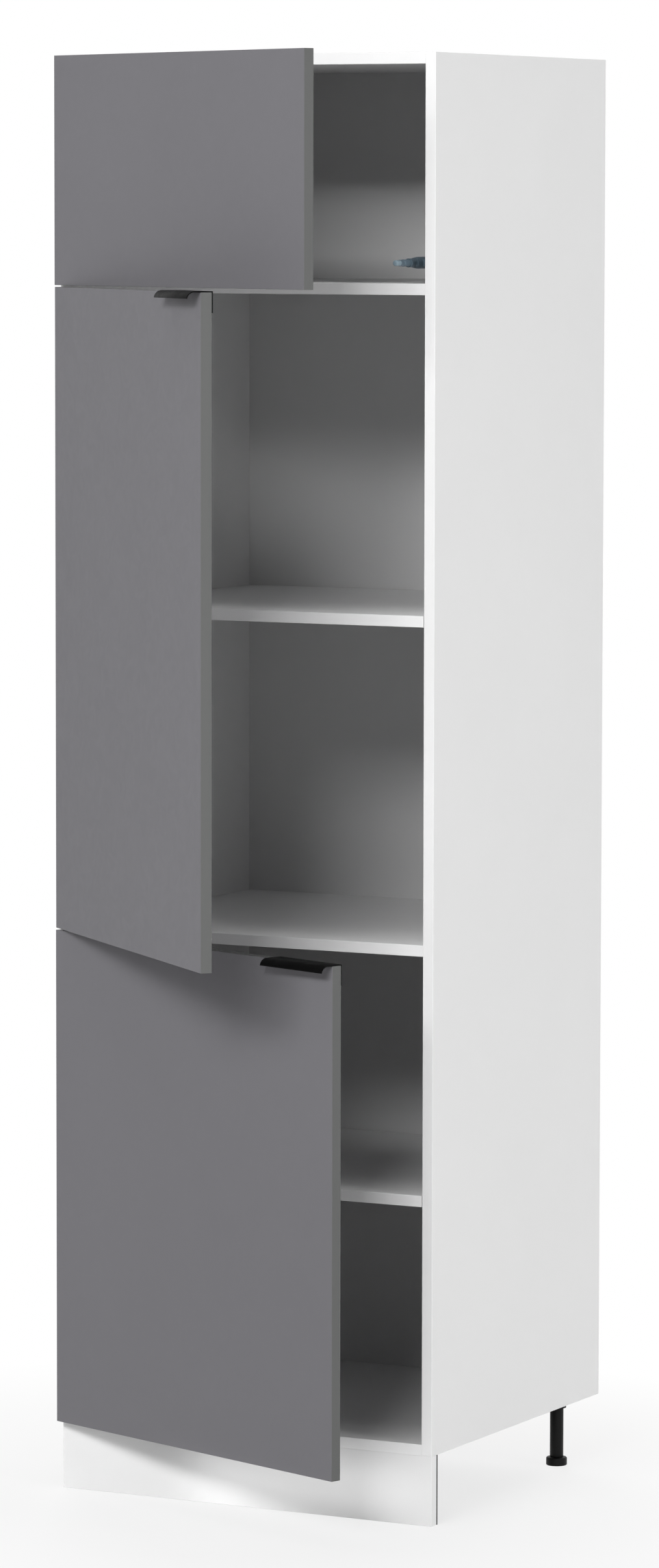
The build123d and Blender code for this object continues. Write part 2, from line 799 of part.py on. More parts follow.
adapter_bore = latch_body_radius + screw_clearance
plate_face = side_inner - adapter_plate_thickness
with BuildPart() as latch_adapter:
    cone("Y", latch_axis, (latch_y(adapter_start), latch_y(adapter_cone_end)),
         (adapter_nose_radius, adapter_radius))
    rod("Y", latch_axis, (latch_y(adapter_cone_end), latch_y(adapter_end)), adapter_radius)
    box((latch_x, side_inner), (latch_y(adapter_plate_start), latch_y(adapter_end)),
        around(latch_z, adapter_web))
    box((plate_face, side_inner), (latch_y(adapter_plate_start), latch_y(adapter_end)),
        around(latch_z, adapter_plate_height))
    rod("Y", latch_axis, (latch_y(adapter_start), latch_y(adapter_end)), adapter_bore,
        mode=Mode.SUBTRACT)
    for z in adapter_screw_z:
        cone("X", (0, adapter_screw_y, z), (plate_face, side_inner),
             (adapter_screw_head_radius + screw_clearance, adapter_screw_radius + screw_clearance),
             mode=Mode.SUBTRACT)
save(latch_adapter, "latch_adapter")

with BuildPart() as latch_screws:
    for z in adapter_screw_z:
        point = (0, adapter_screw_y, z)
        cone("X", point, (plate_face, side_inner),
             (adapter_screw_head_radius, adapter_screw_radius))
        rod("X", point, (side_inner, plate_face + adapter_screw_length), adapter_screw_radius)
save(latch_screws, "latch_screws")

with BuildPart(upper_door.plane) as latch_strike:
    rod("Y", (latch_from_pivot, 0, latch_z), (door_back, door_back + strike_thickness),
        strike_radius)
save(latch_strike, "latch_strike")
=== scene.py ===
import logging
from dataclasses import dataclass, field
from enum import Enum, IntEnum
from math import cos, radians, sin, tau
from typing import Iterable, Sequence

import bmesh
import bpy
from bmesh.types import BMesh, BMEdge, BMFace, BMVert
from mathutils import Matrix, Vector


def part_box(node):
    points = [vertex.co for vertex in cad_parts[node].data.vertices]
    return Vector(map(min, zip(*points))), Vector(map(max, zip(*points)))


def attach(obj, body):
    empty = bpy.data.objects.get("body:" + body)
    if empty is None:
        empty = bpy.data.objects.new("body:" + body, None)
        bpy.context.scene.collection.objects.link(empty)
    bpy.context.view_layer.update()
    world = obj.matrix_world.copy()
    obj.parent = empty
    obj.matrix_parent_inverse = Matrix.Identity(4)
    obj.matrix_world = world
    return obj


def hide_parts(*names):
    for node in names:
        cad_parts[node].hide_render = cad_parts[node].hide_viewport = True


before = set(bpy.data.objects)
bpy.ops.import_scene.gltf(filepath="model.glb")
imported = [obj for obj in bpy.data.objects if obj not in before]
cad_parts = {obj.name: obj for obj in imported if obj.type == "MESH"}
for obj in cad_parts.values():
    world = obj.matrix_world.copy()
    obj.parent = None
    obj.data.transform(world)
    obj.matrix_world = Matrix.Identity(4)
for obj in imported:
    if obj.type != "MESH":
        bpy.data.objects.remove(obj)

log = logging.getLogger("cabinet")

Colour = tuple[float, float, float]
Point = tuple[float, float, float]

# A millimetre in metres. Sizes are in millimetres, except those of the floor, lamps and camera.
MM = 0.001

# How far out the inner face of a side panel is, and the X and Y of the hinges' pins.
SIDE_INNER = 284.0
PIVOT = (-292.0, -17.8)

# How near vertices become one, how near heights are level, and how near a point counts as lying
# in a face. The last is wide, because narrow faces beside a board's bores lie a little askew.
MERGED = 0.001
LEVEL = 1e-4
NEAR = 0.4

# Angles in degrees: under FLAT, faces are one flat face, and over SHARP, an edge is eased. Faces
# shade as one under TURNED on turned pieces and under EASED on the rest. PARALLEL is the cosine
# over which two directions count as the same.
FLAT = 0.5
SHARP = 60.0
TURNED = 30.0
EASED = 35.0
PARALLEL = 0.9


def shade(colour: Colour, factor: float) -> tuple[float, float, float, float]:
    """Give a colour made lighter or darker, with full alpha.

    Args:
        colour: linear red, green and blue.
        factor: what each part is multiplied by.

    Returns:
        The four numbers that a colour socket takes.
    """
    red, green, blue = (min(1.0, part * factor) for part in colour)
    return red, green, blue, 1.0


class Tree:
    """A material and the calls that add nodes to it."""

    def __init__(self, name: str) -> None:
        """Start a material with only its shader and its place on the object.

        Args:
            name: the material's name.
        """
        self.material = bpy.data.materials.new(name)
        self.material.use_nodes = True
        self.nodes = self.material.node_tree.nodes
        self.links = self.material.node_tree.links
        self.shader = self.nodes["Principled BSDF"]
        self.place = self.nodes.new("ShaderNodeTexCoord").outputs["Object"]

    def mapped(self, stretch: Point) -> bpy.types.NodeSocket:
        """Give the place on the object with each axis stretched.

        Args:
            stretch: how much longer the pattern runs along each axis.

        Returns:
            The vector socket.
        """
        mapping = self.nodes.new("ShaderNodeMapping")
        mapping.inputs["Scale"].default_value = tuple(1.0 / part for part in stretch)
        self.links.new(self.place, mapping.inputs["Vector"])
        return mapping.outputs["Vector"]

    def noise(self, size: float, detail: float = 2.0, stretch: Point = (1, 1, 1),
              distortion: float = 0.0) -> bpy.types.NodeSocket:
        """Add a noise pattern.

        Args:
            size: the size of its blotches in millimetres.
            detail: how many finer layers it has.
            stretch: how much longer it runs along each axis.
            distortion: how far it is stirred.

        Returns:
            The factor socket, from 0 to 1.
        """
        pattern = self.nodes.new("ShaderNodeTexNoise")
        pattern.inputs["Scale"].default_value = 1.0 / (size * MM)
        pattern.inputs["Detail"].default_value = detail
        pattern.inputs["Distortion"].default_value = distortion
        self.links.new(self.mapped(stretch), pattern.inputs["Vector"])
        return pattern.outputs["Fac"]

    def flecks(self, size: float, stretch: Point = (1, 1, 1)) -> bpy.types.NodeSocket:
        """Add a pattern of cells, each with its own value.

        Args:
            size: the size of a cell in millimetres.
            stretch: how much longer the cells are along each axis.

        Returns:
            The colour socket, one random colour for each cell.
        """
        cells = self.nodes.new("ShaderNodeTexVoronoi")
        cells.inputs["Scale"].default_value = 1.0 / (size * MM)
        self.links.new(self.mapped(stretch), cells.inputs["Vector"])
        return cells.outputs["Color"]

    def spread(self, value: bpy.types.NodeSocket, low: float = 0.0, high: float = 1.0,
               start: float = 0.3, stop: float = 0.7) -> bpy.types.NodeSocket:
        """Stretch a pattern's usual range over another.

        Args:
            value: the pattern.
            low: what its low end becomes.
            high: what its high end becomes.
            start: the value taken as its low end.
            stop: the value taken as its high end.

        Returns:
            The result socket.
        """
        ranged = self.nodes.new("ShaderNodeMapRange")
        ranged.inputs["From Min"].default_value = start
        ranged.inputs["From Max"].default_value = stop
        ranged.inputs["To Min"].default_value = low
        ranged.inputs["To Max"].default_value = high
        self.links.new(value, ranged.inputs["Value"])
        return ranged.outputs["Result"]

    def tint(self, pattern: bpy.types.NodeSocket, colour: Colour, low: float,
             high: float) -> None:
        """Vary the surface's colour by a pattern.

        Args:
            pattern: the pattern, from 0 to 1.
            colour: the colour that is varied.
            low: what the colour is multiplied by at 0.
            high: what it is multiplied by at 1.
        """
        mix = self.nodes.new("ShaderNodeMix")
        mix.data_type = "RGBA"
        mix.inputs["A"].default_value = shade(colour, low)
        mix.inputs["B"].default_value = shade(colour, high)
        self.links.new(pattern, mix.inputs["Factor"])
        self.links.new(mix.outputs["Result"], self.shader.inputs["Base Color"])

    def roughen(self, value: bpy.types.NodeSocket) -> None:
        """Use a socket as the surface's roughness."""
        self.links.new(value, self.shader.inputs["Roughness"])

    def emboss(self, height: bpy.types.NodeSocket, depth: float,
               over: bpy.types.NodeSocket | None = None) -> bpy.types.NodeSocket:
        """Raise the surface by a pattern.

        Args:
            height: the pattern.
            depth: its height in millimetres.
            over: the normal of a coarser pattern below it.

        Returns:
            The normal socket, which is also put on the shader.
        """
        bump = self.nodes.new("ShaderNodeBump")
        bump.inputs["Distance"].default_value = depth * MM
        self.links.new(height, bump.inputs["Height"])
        if over is not None:
            self.links.new(over, bump.inputs["Normal"])
        self.links.new(bump.outputs["Normal"], self.shader.inputs["Normal"])
        return bump.outputs["Normal"]

    def set(self, **values: float) -> None:
        """Set sockets of the shader, spaces in their names written as underscores."""
        for name, value in values.items():
            self.shader.inputs[name.replace("_", " ")].default_value = value


@dataclass(frozen=True)
class Finish:
    """What every finish has: its name, its colour and the record's slot that it belongs to."""

    name: str
    colour: Colour
    slot: str = ""

    def dress(self, tree: Tree) -> None:
        """Give the tree this finish's nodes. Each kind of finish has its own."""
        raise NotImplementedError

    def material(self) -> bpy.types.Material:
        """Give the finish's material, made once.

        Returns:
            The material.
        """
        made = bpy.data.materials.get(self.name)
        if made is None:
            tree = Tree(self.name)
            self.dress(tree)
            made = tree.material
        return made


@dataclass(frozen=True)
class Melamine(Finish):
    """A resin face pressed on chipboard, with a fine pearl grain."""

    roughness: float = 0.5
    grain: float = 1.1
    grain_depth: float = 0.035

    def dress(self, tree: Tree) -> None:
        """Build the pearl grain, faint clouds in the colour and handling marks in the gloss.

        Args:
            tree: the material's nodes.
        """
        clouds = tree.noise(size=190.0, detail=3.0, distortion=0.4)
        tree.tint(clouds, self.colour, low=0.985, high=1.015)
        rubbed = tree.noise(size=34.0, detail=4.0, distortion=1.2)
        tree.roughen(tree.spread(rubbed, self.roughness - 0.04, self.roughness + 0.05))
        swell = tree.emboss(tree.noise(size=7.0, detail=1.0), self.grain_depth * 0.7)
        tree.emboss(tree.noise(self.grain), self.grain_depth, over=swell)
        tree.set(Specular_IOR_Level=0.35)


@dataclass(frozen=True)
class EdgeBand(Finish):
    """A thin plastic strip glued to a board's edge and scraped flush."""

    gloss: float = 0.5

    def dress(self, tree: Tree) -> None:
        """Build the scraper's faint chatter and a slightly glossier face than the board's.

        Args:
            tree: the material's nodes.
        """
        chatter = tree.noise(size=2.6, detail=1.0)
        tree.tint(tree.noise(size=60.0), self.colour, low=0.98, high=1.01)
        tree.roughen(tree.spread(chatter, low=0.32, high=0.42))
        tree.emboss(chatter, depth=0.02)
        tree.set(Specular_IOR_Level=self.gloss)


@dataclass(frozen=True)
class MattFront(Finish):
    """The doors' matt coating, with a soft orange peel."""

    def dress(self, tree: Tree) -> None:
        """Build the orange peel, a dust-fine grain and slow clouds in the tone.

        Args:
            tree: the material's nodes.
        """
        clouds = tree.noise(size=260.0, distortion=0.6)
        tree.tint(clouds, self.colour, low=0.975, high=1.025)
        rubbed = tree.noise(size=28.0, detail=4.0, distortion=1.5)
        tree.roughen(tree.spread(rubbed, low=0.56, high=0.64))
        peel = tree.emboss(tree.noise(size=3.4, detail=1.0), depth=0.03)
        tree.emboss(tree.noise(size=0.5), depth=0.012, over=peel)
        tree.set(Specular_IOR_Level=0.22)


@dataclass(frozen=True)
class Chipboard(Finish):
    """Bare pressed chips, where a board was sawn or bored."""

    def dress(self, tree: Tree) -> None:
        """Build small flat chips of mixed tones, some standing proud of others.

        Args:
            tree: the material's nodes.
        """
        chips = tree.nodes.new("ShaderNodeSeparateColor")
        tree.links.new(tree.flecks(size=1.1, stretch=(1.5, 1.5, 2.4)), chips.inputs["Color"])
        tree.tint(chips.outputs["Red"], self.colour, low=0.66, high=1.22)
        gaps = tree.emboss(tree.noise(size=2.4, detail=3.0), depth=0.2)
        tree.emboss(chips.outputs["Green"], depth=0.15, over=gaps)
        tree.set(Roughness=0.9, Specular_IOR_Level=0.2)


@dataclass(frozen=True)
class Hardboard(Finish):
    """The rough side of the pressed fibre back, with its screen pattern."""

    pitch: float = 3.2

    def dress(self, tree: Tree) -> None:
        """Build loose fibres in the colour and the wire screen's print in the surface.

        Args:
            tree: the material's nodes.
        """
        fibres = tree.noise(size=1.8, detail=5.0, stretch=(6.0, 1.0, 1.0), distortion=1.6)
        tree.tint(tree.spread(fibres), self.colour, low=0.8, high=1.15)
        heights = []
        for direction in ("X", "Z"):
            wires = tree.nodes.new("ShaderNodeTexWave")
            wires.bands_direction = direction
            wires.inputs["Scale"].default_value = 1.0 / (self.pitch * MM) / tau
            wires.inputs["Distortion"].default_value = 0.3
            tree.links.new(tree.place, wires.inputs["Vector"])
            heights.append(wires.outputs["Fac"])
        screen = tree.nodes.new("ShaderNodeMath")
        screen.operation = "MULTIPLY"
        for wires, socket in zip(heights, screen.inputs):
            tree.links.new(wires, socket)
        print_in = tree.emboss(screen.outputs["Value"], depth=0.25)
        tree.emboss(fibres, depth=0.15, over=print_in)
        tree.set(Roughness=0.85, Specular_IOR_Level=0.25)


@dataclass(frozen=True)
class Beech(Finish):
    """Turned beech, with short dark pores along its length."""

    def dress(self, tree: Tree) -> None:
        """Build the grain along X and the pores in it.

        Args:
            tree: the material's nodes.
        """
        grain = tree.noise(size=1.4, detail=3.0, stretch=(14.0, 1.0, 1.0), distortion=0.5)
        tree.tint(tree.spread(grain), self.colour, low=0.75, high=1.12)
        tree.emboss(grain, depth=0.05)
        tree.set(Roughness=0.7)


@dataclass(frozen=True)
class PowderCoat(Finish):
    """Baked powder on a metal strip, finely textured."""

    def dress(self, tree: Tree) -> None:
        """Build the powder's texture and slightly worn, smoother patches.

        Args:
            tree: the material's nodes.
        """
        worn = tree.noise(size=18.0, detail=4.0, distortion=1.0)
        tree.tint(worn, self.colour, low=0.85, high=1.2)
        tree.roughen(tree.spread(worn, low=0.42, high=0.56))
        coarse = tree.emboss(tree.noise(size=1.2), depth=0.03)
        tree.emboss(tree.noise(size=0.35), depth=0.02, over=coarse)
        tree.set(Specular_IOR_Level=0.06)


@dataclass(frozen=True)
class Moulded(Finish):
    """Injection-moulded plastic with a fine spark-eroded skin."""

    roughness: float = 0.45
    gloss: float = 0.5

    def dress(self, tree: Tree) -> None:
        """Build the eroded skin, faint flow clouds and scuffs in the gloss.

        Args:
            tree: the material's nodes.
        """
        tree.tint(tree.noise(size=16.0, distortion=2.0), self.colour, low=0.9, high=1.1)
        scuffs = tree.noise(size=5.0, detail=5.0, stretch=(1.0, 1.0, 5.0), distortion=0.8)
        tree.roughen(tree.spread(scuffs, self.roughness - 0.06, self.roughness + 0.08))
        tree.emboss(tree.noise(size=0.4), depth=0.02)
        tree.set(Specular_IOR_Level=self.gloss)


@dataclass(frozen=True)
class Plated(Finish):
    """Pressed steel with a thin bright plating."""

    roughness: float = 0.24

    def dress(self, tree: Tree) -> None:
        """Build drawing marks along Z, cloudy plating and a faintly wavy press surface.

        Args:
            tree: the material's nodes.
        """
        clouds = tree.noise(size=9.0, detail=4.0, distortion=1.4)
        tree.tint(clouds, self.colour, low=0.88, high=1.08)
        drawn = tree.noise(size=0.5, detail=3.0, stretch=(1.0, 1.0, 16.0))
        tree.roughen(tree.spread(drawn, self.roughness - 0.05, self.roughness + 0.12))
        wavy = tree.emboss(tree.noise(size=4.0, detail=1.0), depth=0.02)
        tree.emboss(drawn, depth=0.006, over=wavy)
        tree.set(Metallic=1.0)


@dataclass(frozen=True)
class SoftPad(Finish):
    """A clear soft pad, slightly cloudy."""

    def dress(self, tree: Tree) -> None:
        """Build the clouds and let part of the light through.

        Args:
            tree: the material's nodes.
        """
        clouds = tree.noise(size=2.0, detail=3.0)
        tree.tint(clouds, self.colour, low=0.94, high=1.04)
        tree.roughen(tree.spread(clouds, low=0.22, high=0.36))
        tree.set(Transmission_Weight=0.55, IOR=1.45)


WHITE_FACE = Melamine("white_melamine_face", (0.82, 0.82, 0.82), "white_board")
WHITE_BAND = EdgeBand("white_edge_band", (0.86, 0.86, 0.86))
WHITE_FOIL = Melamine("white_back_foil", (0.67, 0.67, 0.67), roughness=0.55, grain=1.8)
RAW_BACK = Hardboard("hardboard_rear", (0.36, 0.24, 0.14))
SAWN_BOARD = Chipboard("bare_chipboard", (0.52, 0.375, 0.235))
GREY_FRONT = MattFront("grey_matt_front", (0.166, 0.163, 0.175), "grey_front")
# The doors' edge band is a darker, greener copy of the fronts' grey: painted shade on the doors'
# edges.
GREY_BAND_PAINTED_SHADE = EdgeBand("grey_edge_band_painted_shade", (0.112, 0.114, 0.112), gloss=0.25)
BLACK_COAT = PowderCoat("black_powder_coat", (0.003, 0.003, 0.003), "black_metal")
BLACK_PLASTIC = Moulded("black_moulded_plastic", (0.005, 0.005, 0.005), "black_plastic",
                        gloss=0.16)
LATCH_BODY = Moulded("latch_blue_grey", (0.088, 0.125, 0.155), "latch_grey", roughness=0.4)
# The tip is a lighter copy of the latch's blue-grey: painted light on the plunger's front end.
LATCH_TIP_PAINTED_LIGHT = Moulded("latch_tip_painted_light", (0.18, 0.24, 0.28), "latch_tip_grey", roughness=0.38)
NICKEL = Plated("nickel_plate", (0.6, 0.58, 0.55), "nickel")
ZINC = Plated("zinc_plate", (0.56, 0.58, 0.61), "zinc", roughness=0.32)
BEECH = Beech("turned_beech", (0.55, 0.38, 0.22))
CLEAR_PAD = SoftPad("clear_soft_pad", (0.8, 0.8, 0.78), "clear_rubber")


def plain_shape(node: str) -> BMesh:
    """Copy a plain part as a closed shape.

    Args:
        node: the part's name.

    Returns:
        The shape, in millimetres.
    """
    bm = bmesh.new()
    bm.from_mesh(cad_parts[node].data)
    bmesh.ops.scale(bm, vec=(1 / MM,) * 3, verts=bm.verts)
    bmesh.ops.remove_doubles(bm, verts=bm.verts, dist=MERGED)
    return bm


def flat_faced(node: str) -> BMesh:
    """Copy a plain part with the triangles of each flat face made one face.

    Args:
        node: the part's name.

    Returns:
        The shape, in millimetres.
    """
    bm = plain_shape(node)
    bmesh.ops.dissolve_limit(bm, angle_limit=radians(FLAT), verts=bm.verts, edges=bm.edges)
    bm.normal_update()
    return bm


def islands(node: str, plane: Matrix = Matrix.Identity(4)) -> list[tuple[Vector, Vector]]:
    """Give the box of each separate solid of a plain part.

    Args:
        node: the part's name.
        plane: the axes on which the boxes are measured, in millimetres.

    Returns:
        The low and high corner of each box in millimetres, from the lowest box up.
    """
    bm = plain_shape(node)
    bmesh.ops.transform(bm, matrix=plane.inverted(), verts=bm.verts)
    boxes = []
    waiting = set(bm.verts)
    while waiting:
        reached = [waiting.pop()]
        for vert in reached:
            for edge in vert.link_edges:
                other = edge.other_vert(vert)
                if other in waiting:
                    waiting.remove(other)
                    reached.append(other)
        spans = [[vert.co[axis] for vert in reached] for axis in range(3)]
        boxes.append((Vector(map(min, spans)), Vector(map(max, spans))))
    bm.free()
    return sorted(boxes, key=lambda box: (round(box[0].z, 1), round(box[0].x, 1), box[0].y))


def put_in_scene(mesh: bpy.types.Mesh, body: str, node: str, *finishes: Finish) -> None:
    """Add a finished mesh to the scene in place of a plain part.

    Args:
        mesh: the mesh, with the piece's name, in the cabinet's own place, in metres.
        body: the body that the piece rides on.
        node: the plain part that it stands for.
        finishes: one finish for each material index.
    """
    piece = bpy.data.objects.new(mesh.name, mesh)
    bpy.context.scene.collection.objects.link(piece)
    for finish in finishes:
        mesh.materials.append(finish.material())
    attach(piece, body)
    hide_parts(node)
    log.info("%s: %d faces on %s", piece.name, len(mesh.polygons), body)


def dress_nodes(finish: Finish, *names: str) -> None:
    """Give plain parts a finish.

    Args:
        finish: the finish.
        names: the parts' names.
    """
    for name in names:
        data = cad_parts[name].data
        data.materials.clear()
        data.materials.append(finish.material())
        log.info("%s: %s", name, finish.name)


def as_mesh(bm: BMesh, name: str, place: Matrix = Matrix.Identity(4),
            smooth: float = EASED) -> bpy.types.Mesh:
    """Turn a bmesh in millimetres into a mesh in metres, and free it.

    Args:
        bm: the shape, closed, in millimetres.
        name: the mesh's name.
        place: where its own axes lie in the cabinet, in millimetres.
        smooth: the angle in degrees under which its faces shade as one.

    Returns:
        The mesh.
    """
    bmesh.ops.transform(bm, matrix=place, verts=bm.verts)
    bmesh.ops.scale(bm, vec=(MM, MM, MM), verts=bm.verts)
    bmesh.ops.recalc_face_normals(bm, faces=bm.faces)
    mesh = bpy.data.meshes.new(name)
    bm.to_mesh(mesh)
    bm.free()
    mesh.polygons.foreach_set("use_smooth", [True] * len(mesh.polygons))
    mesh.set_sharp_from_angle(angle=radians(smooth))
    return mesh


def axes(origin: Sequence[float], z_axis: Sequence[float]) -> Matrix:
    """Give the matrix that stands a shape's own Z along a direction.

    Args:
        origin: where its own origin goes.
        z_axis: the direction of its own Z.

    Returns:
        The matrix, in millimetres.
    """
    turn = Vector(z_axis).to_track_quat("Z", "Y").to_matrix().to_4x4()
    return Matrix.Translation(Vector(origin)) @ turn


def ease(bm: BMesh, edges: Iterable[BMEdge], radius: float, clamped: bool = False) -> None:
    """Round edges off with two faces each.

    Args:
        bm: the shape.
        edges: the edges to round.
        radius: the rounding in millimetres.
        clamped: whether the rounding stays small where edges lie near each other.
    """
    bmesh.ops.bevel(bm, geom=list(edges), offset=radius, offset_type="OFFSET", affect="EDGES",
                    segments=2, profile=0.5, material=-1, clamp_overlap=clamped)


def turned(bm: BMesh, outline: Sequence[tuple[float, float]], steps: int) -> list[BMVert]:
    """Turn an outline about Z into a closed shape.

    Args:
        bm: where the shape goes.
        outline: radius and height of each corner, from one end on the axis to the other.
        steps: how many faces lie round it.

    Returns:
        The shape's vertices.
    """
    before = set(bm.verts)
    corners = [bm.verts.new((radius, 0.0, height)) for radius, height in outline]
    edges = [bm.edges.new(pair) for pair in zip(corners, corners[1:])]
    bmesh.ops.spin(bm, geom=corners + edges, cent=(0, 0, 0), axis=(0, 0, 1), dvec=(0, 0, 0),
                   angle=tau, steps=steps, use_merge=True, use_duplicate=False)
    made = [vert for vert in bm.verts if vert not in before]
    bmesh.ops.remove_doubles(bm, verts=made, dist=MERGED)
    return [vert for vert in bm.verts if vert not in before]


def faces_at(bm: BMesh, height: float) -> list[BMFace]:
    """Find the faces that lie level at a height.

    Args:
        bm: the shape.
        height: their Z in millimetres.

    Returns:
        The faces.
    """
    return [face for face in bm.faces
            if all(abs(vert.co.z - height) < LEVEL for vert in face.verts)]


def cross_cut(bm: BMesh, top: BMFace, arm: float, half: float, depth: float) -> None:
    """Sink a cross for a screwdriver into a flat face on the Z axis.

    Args:
        bm: the shape.
        top: the face, square to Z and centred on it.
        arm: how far the cross reaches from the middle.
        half: half the width of an arm.
        depth: how deep it is.
    """
    height = top.verts[0].co.z
    for direction in (Vector((1, 0, 0)), Vector((0, 1, 0))):
        for distance in (-arm, -half, half, arm):
            flat = faces_at(bm, height)
            edges = dict.fromkeys(edge for face in flat for edge in face.edges)
            verts = dict.fromkeys(vert for face in flat for vert in face.verts)
            bmesh.ops.bisect_plane(bm, geom=[*flat, *edges, *verts], dist=LEVEL / 10,
                                   plane_co=direction * distance, plane_no=direction)
    sunk = []
    for face in faces_at(bm, height):
        middle = face.calc_center_median()
        narrow, wide = sorted((abs(middle.x), abs(middle.y)))
        if wide < arm and narrow < half:
            sunk.append(face)
    taper = half * 0.3
    bmesh.ops.inset_region(bm, faces=sunk, thickness=taper, depth=-depth,
                           use_even_offset=True, use_boundary=True)


class Head(Enum):
    """The kinds of screw head on the cabinet."""

    PAN = "pan"
    FLUSH = "flush"
    CAM = "cam"


@dataclass(frozen=True)
class Fastener:
    """One kind of screw or cam, made in as many places as it is used."""

    head: Head
    head_radius: float
    head_height: float
    shank_radius: float
    length: float

    def outline(self) -> list[tuple[float, float]]:
        """Give the turned outline, with the head's seat at Z 0 and the head towards +Z.

        Returns:
            Radius and height of each corner.
        """
        shank, radius, rise = self.shank_radius, self.head_radius, self.head_height
        end, rim, chamfer = -self.length, -0.1, 0.4
        if self.head is Head.CAM:
            return [(0, end), (radius - chamfer, end), (radius, end + chamfer),
                    (radius, rim - chamfer), (radius - chamfer, rim), (radius * 0.78, rim)]
        tail = [(0, end), (shank * 0.6, end + 0.8), (shank, end + 2.2)]
        if self.head is Head.FLUSH:
            return [*tail, (shank, -rise), (radius, rim), (radius * 0.8, 0)]
        return [*tail, (shank, 0), (radius, 0), (radius, rise * 0.45), (radius * 0.9, rise * 0.85),
                (radius * 0.68, rise)]

    def seated(self, low: Vector, high: Vector, axis: int, way: int) -> Matrix:
        """Find where a fastener sits from the box of the plain one.

        Args:
            low: the box's low corner.
            high: the box's high corner.
            axis: the axis it lies along, from 0 for X to 2 for Z.
            way: 1 where its head is at the high end, and -1 where it is at the low end.

        Returns:
            The place of its seat and the turn of its axis.
        """
        seat = (low + high) / 2
        rise = 0.0 if self.head is Head.FLUSH else self.head_height
        seat[axis] = high[axis] - rise if way > 0 else low[axis] + rise
        direction = Vector((0, 0, 0))
        direction[axis] = way
        return axes(seat, direction)

    def add(self, bm: BMesh, place: Matrix) -> None:
        """Make one fastener.

        Args:
            bm: where it goes.
            place: where its seat and axis lie, in millimetres.
        """
        piece = bmesh.new()
        outline = self.outline()
        turned(piece, outline, steps=20)
        open_edges = [edge for edge in piece.edges if edge.is_boundary]
        top = bmesh.ops.contextual_create(piece, geom=open_edges)["faces"][0]
        bmesh.ops.recalc_face_normals(piece, faces=piece.faces)
        arm = outline[-1][0] * 0.8
        cross_cut(piece, top, arm, half=arm * 0.2, depth=min(1.2, self.head_radius * 0.3))
        bmesh.ops.transform(piece, matrix=place, verts=piece.verts)
        mesh = bpy.data.meshes.new("fastener")
        piece.to_mesh(mesh)
        piece.free()
        bm.from_mesh(mesh)
        bpy.data.meshes.remove(mesh)


class Skin(IntEnum):
    """The parts of a board's surface, in the order of its finishes."""

    FACE = 0
    BAND = 1
    BARE = 2


@dataclass
class Board:
    """A sawn and banded board, taken from its plain part with its edges eased."""

    node: str
    body: str
    face: Finish
    band: Finish
    bare_rear: bool = False
    easing: float = 0.5

    def build(self) -> None:
        """Ease the board's outer edges and dress its faces, edges and cut places."""
        bm = flat_faced(self.node)
        corners = [vert.co.copy() for vert in bm.verts]
        outer = {face for face in bm.faces
                 if max((corner - face.verts[0].co).dot(face.normal)
                        for corner in corners) < NEAR}
        broad = max(outer, key=BMFace.calc_area).normal.copy()
        for face in bm.faces:
            face.smooth = False
            face.material_index = self.skin(face, broad) if face in outer else Skin.BARE
        sharp = [edge for edge in bm.edges
                 if len(edge.link_faces) == 2 and outer.issuperset(edge.link_faces)
                 and edge.calc_face_angle(0.0) > radians(SHARP)]
        ease(bm, sharp, self.easing)
        # Not by as_mesh: a board's faces stay flat.
        mesh = bpy.data.meshes.new(self.node + "_eased")
        bmesh.ops.scale(bm, vec=(MM, MM, MM), verts=bm.verts)
        bm.to_mesh(mesh)
        bm.free()
        put_in_scene(mesh, self.body, self.node, self.face, self.band, SAWN_BOARD)

    def skin(self, face: BMFace, broad: Vector) -> Skin:
        """Say which part of the surface an outer face belongs to.

        Args:
            face: the face.
            broad: the direction that the board's broad side points in.

        Returns:
            The part.
        """
        if abs(face.normal.dot(broad)) > PARALLEL:
            return Skin.FACE
        if self.bare_rear and face.normal.y > PARALLEL:
            return Skin.BARE
        return Skin.BAND


@dataclass
class EasedPart:
    """A plain part copied with its sharp edges eased and its round faces smooth."""

    node: str
    body: str
    finish: Finish
    easing: float

    def build(self) -> None:
        """Ease the part's sharp outer edges and dress it."""
        bm = flat_faced(self.node)
        sharp = [edge for edge in bm.edges
                 if edge.is_convex and edge.calc_face_angle(0.0) > radians(SHARP)]
        ease(bm, sharp, self.easing, clamped=True)
        put_in_scene(as_mesh(bm, self.node + "_eased"), self.body, self.node, self.finish)


